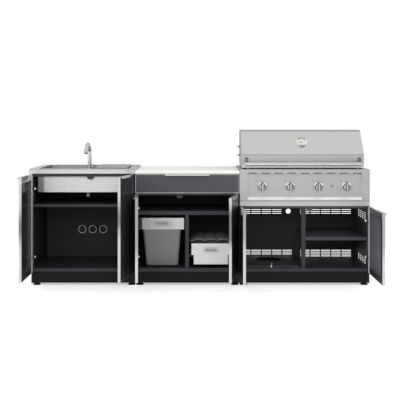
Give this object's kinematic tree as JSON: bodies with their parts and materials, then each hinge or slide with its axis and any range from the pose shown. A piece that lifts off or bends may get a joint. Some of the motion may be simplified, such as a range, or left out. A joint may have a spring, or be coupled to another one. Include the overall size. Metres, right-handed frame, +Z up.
{
  "type": "modular outdoor kitchen",
  "caption": "Row of outdoor kitchen cabinets with hinged glass doors: a sink with tap, a counter with drawer and pull-outs, and a built-in gas grill with a lifting hood.",
  "frame": {"origin": "on the floor, under the middle of the box round the kitchen with its doors open as stored", "axes": "+X to the viewer's right along the row, +Y to the back, +Z up"},
  "size_m": [2.6936, 1.0945, 1.212],
  "materials": {
    "slate_panel": "satin powder coat",
    "door_aluminium": "brushed anodised",
    "slate_glass": "back-painted, satin",
    "stainless": "brushed",
    "chrome": "polished",
    "zinc_steel": "zinc plated",
    "slate_tray": "satin powder coat",
    "solid_surface": "honed solid surface",
    "pale_plastic": "satin",
    "grey_plastic": "satin",
    "white_plastic": "satin",
    "black_plastic": "matt",
    "red_paint": "matt",
    "cast_iron": "enamelled"
  },
  "bodies": {
    "cabinets": {"burners": "stainless", "carcass_rails": "slate_panel", "centre_back_panel": "slate_panel", "centre_side_panels": "slate_panel", "control_fascia": "stainless", "cooking_grates": "cast_iron", "dividers": "slate_panel", "door_hinges": "zinc_steel", "drain_tail": "chrome", "firebox": "stainless", "floor_pans": "slate_panel", "gas_manifold": "zinc_steel", "grill_back_panel": "slate_panel", "grill_side_panels": "slate_panel", "heat_tents": "stainless", "hood_pivots": "zinc_steel", "knob_bezels": "chrome", "levelling_feet": "black_plastic", "plinth_boards": "slate_panel", "pullout_runners": "zinc_steel", "shelves": "slate_panel", "sink_back_panel": "slate_panel", "sink_basin": "stainless", "sink_side_panels": "slate_panel", "sink_top": "stainless", "tap_body": "chrome", "worktop_slab": "solid_surface"},
    "sink_left_door": {"sink_left_door_frame": "door_aluminium", "sink_left_door_glass": "slate_glass"},
    "sink_right_door": {"sink_right_door_frame": "door_aluminium", "sink_right_door_glass": "slate_glass"},
    "centre_left_door": {"centre_left_door_frame": "door_aluminium", "centre_left_door_glass": "slate_glass"},
    "centre_right_door": {"centre_right_door_frame": "door_aluminium", "centre_right_door_glass": "slate_glass"},
    "grill_left_door": {"grill_left_door_frame": "door_aluminium", "grill_left_door_glass": "slate_glass"},
    "grill_right_door": {"grill_right_door_frame": "door_aluminium", "grill_right_door_glass": "slate_glass"},
    "drawer": {"drawer_frame": "door_aluminium", "drawer_glass": "slate_glass", "drawer_box": "stainless"},
    "waste_bin": {"bin_collar": "pale_plastic", "bin_bucket": "grey_plastic"},
    "bottle_rack": {"bottle_rack": "slate_tray"},
    "storage_bin": {"storage_bin": "white_plastic"},
    "gas_tray": {"gas_bottle_tray": "slate_tray"},
    "drip_tray": {"drip_tray": "stainless"},
    "cover": {"cover_board": "stainless"},
    "spout": {"tap_spout": "chrome"},
    "lever": {"tap_lever": "chrome"},
    "hood": {"hood": "stainless", "hood_handle": "stainless", "thermometer_case": "chrome"},
    "needle": {"thermometer_needle": "red_paint"},
    "knob_1": {"knob_1": "chrome"},
    "knob_2": {"knob_2": "chrome"},
    "knob_3": {"knob_3": "chrome"},
    "knob_4": {"knob_4": "chrome"},
    "spark_button": {"spark_button": "chrome"}
  },
  "joints": [
    {"name": "sink_left_door_hinge", "type": "hinge", "parent": "cabinets", "child": "sink_left_door", "pos_m": [-1.3148, -0.045, 0.4875], "axis": [0, 0, -1], "range_deg": [-90, 20]},
    {"name": "sink_right_door_hinge", "type": "hinge", "parent": "cabinets", "child": "sink_right_door", "pos_m": [-0.519, -0.053, 0.4875], "axis": [0, 0, 1], "range_deg": [-79, 6]},
    {"name": "centre_left_door_hinge", "type": "hinge", "parent": "cabinets", "child": "centre_left_door", "pos_m": [-0.497, -0.053, 0.4115], "axis": [0, 0, -1], "range_deg": [-86, 2]},
    {"name": "centre_right_door_hinge", "type": "hinge", "parent": "cabinets", "child": "centre_right_door", "pos_m": [0.2938, -0.053, 0.4115], "axis": [0, 0, 1], "range_deg": [-79.5, 5.5]},
    {"name": "grill_left_door_hinge", "type": "hinge", "parent": "cabinets", "child": "grill_left_door", "pos_m": [0.3158, -0.053, 0.3615], "axis": [0, 0, -1], "range_deg": [-90, 0]},
    {"name": "grill_right_door_hinge", "type": "hinge", "parent": "cabinets", "child": "grill_right_door", "pos_m": [1.3148, -0.045, 0.3615], "axis": [0, 0, 1], "range_deg": [-90, 20]},
    {"name": "drawer_slide", "type": "slide", "parent": "cabinets", "child": "drawer", "axis": [0, -1, 0], "range_m": [0, 0.4]},
    {"name": "waste_bin_slide", "type": "slide", "parent": "cabinets", "child": "waste_bin", "axis": [0, -1, 0], "range_m": [0, 0.4]},
    {"name": "bottle_rack_slide", "type": "slide", "parent": "cabinets", "child": "bottle_rack", "axis": [0, -1, 0], "range_m": [0, 0.24]},
    {"name": "storage_bin_slide", "type": "slide", "parent": "cabinets", "child": "storage_bin", "axis": [0, -1, 0], "range_m": [0, 0.24]},
    {"name": "gas_tray_slide", "type": "slide", "parent": "cabinets", "child": "gas_tray", "axis": [0, -1, 0], "range_m": [0, 0.35]},
    {"name": "drip_tray_slide", "type": "slide", "parent": "cabinets", "child": "drip_tray", "axis": [0, -1, 0], "range_m": [0, 0.35]},
    {"name": "cover_slide", "type": "slide", "parent": "cabinets", "child": "cover", "axis": [1, 0, 0], "range_m": [-0.055, 0.018]},
    {"name": "spout_swivel", "type": "hinge", "parent": "cabinets", "child": "spout", "pos_m": [-0.9254, 0.414, 0.986], "axis": [0, 0, 1], "range_deg": [-90, 90]},
    {"name": "lever_tilt", "type": "hinge", "parent": "cabinets", "child": "lever", "pos_m": [-0.8994, 0.414, 0.904], "axis": [1, 0, 0], "range_deg": [0, 60]},
    {"name": "hood_hinge", "type": "hinge", "parent": "cabinets", "child": "hood", "pos_m": [0.8128, 0.436, 1], "axis": [-1, 0, 0], "range_deg": [0, 70]},
    {"name": "needle_turn", "type": "hinge", "parent": "hood", "child": "needle", "pos_m": [0.8128, 0.12841, 1.11954], "axis": [0, 0.735, -0.6781], "range_deg": [0, 240]},
    {"name": "knob_1_turn", "type": "hinge", "parent": "cabinets", "child": "knob_1", "pos_m": [0.4838, -0.062, 0.771], "axis": [0, -1, 0], "range_deg": [0, 180]},
    {"name": "knob_2_turn", "type": "hinge", "parent": "cabinets", "child": "knob_2", "pos_m": [0.7028, -0.062, 0.771], "axis": [0, -1, 0], "range_deg": [0, 180]},
    {"name": "knob_3_turn", "type": "hinge", "parent": "cabinets", "child": "knob_3", "pos_m": [0.9228, -0.062, 0.771], "axis": [0, -1, 0], "range_deg": [0, 180]},
    {"name": "knob_4_turn", "type": "hinge", "parent": "cabinets", "child": "knob_4", "pos_m": [1.1418, -0.062, 0.771], "axis": [0, -1, 0], "range_deg": [0, 180]},
    {"name": "spark_press", "type": "slide", "parent": "cabinets", "child": "spark_button", "axis": [0, 1, 0], "range_m": [0, 0.003], "stiffness_N_per_m": 800}
  ]
}
